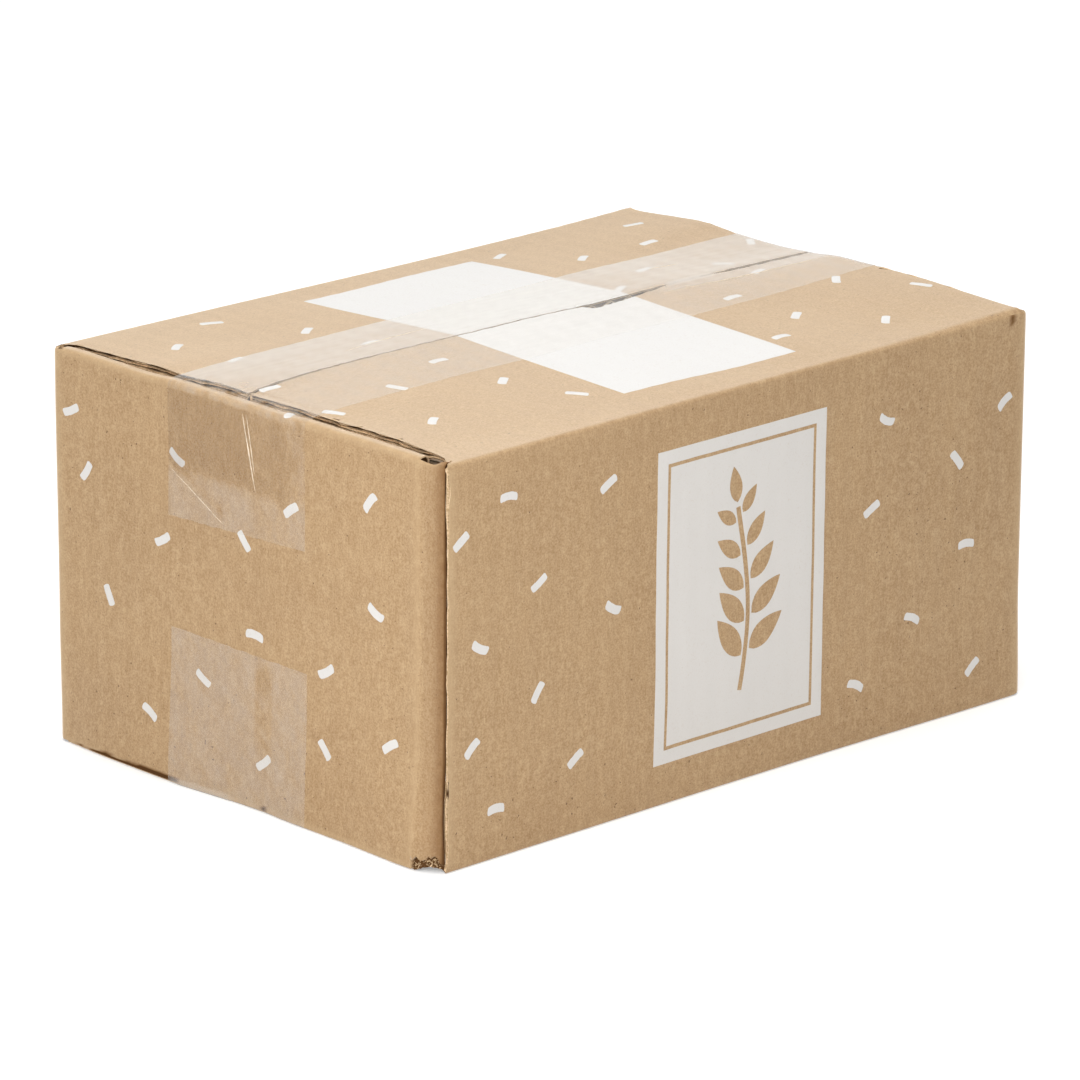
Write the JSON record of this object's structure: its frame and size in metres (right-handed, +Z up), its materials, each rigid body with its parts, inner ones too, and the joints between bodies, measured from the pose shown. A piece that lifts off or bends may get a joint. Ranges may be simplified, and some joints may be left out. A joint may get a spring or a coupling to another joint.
{
  "type": "taped parcel",
  "caption": "Small fluted cardboard carton, folded and glued, its flaps closed top and bottom with clear tape strips that wrap onto the end walls.",
  "frame": {"origin": "middle of the footprint, on the floor", "axes": "+X along the long side, away from the end with the glued joint; +Y from the front wall to the back wall; +Z up"},
  "size_m": [0.2002, 0.137, 0.1033],
  "materials": {
    "kraft_board": "matt brown kraft liner with fine fibres and white print",
    "clear_tape": "clear glossy film with a faint haze"
  },
  "bodies": {
    "root": {"carton": "kraft_board", "top_tape": "clear_tape", "bottom_tape": "clear_tape"}
  },
  "joints": []
}
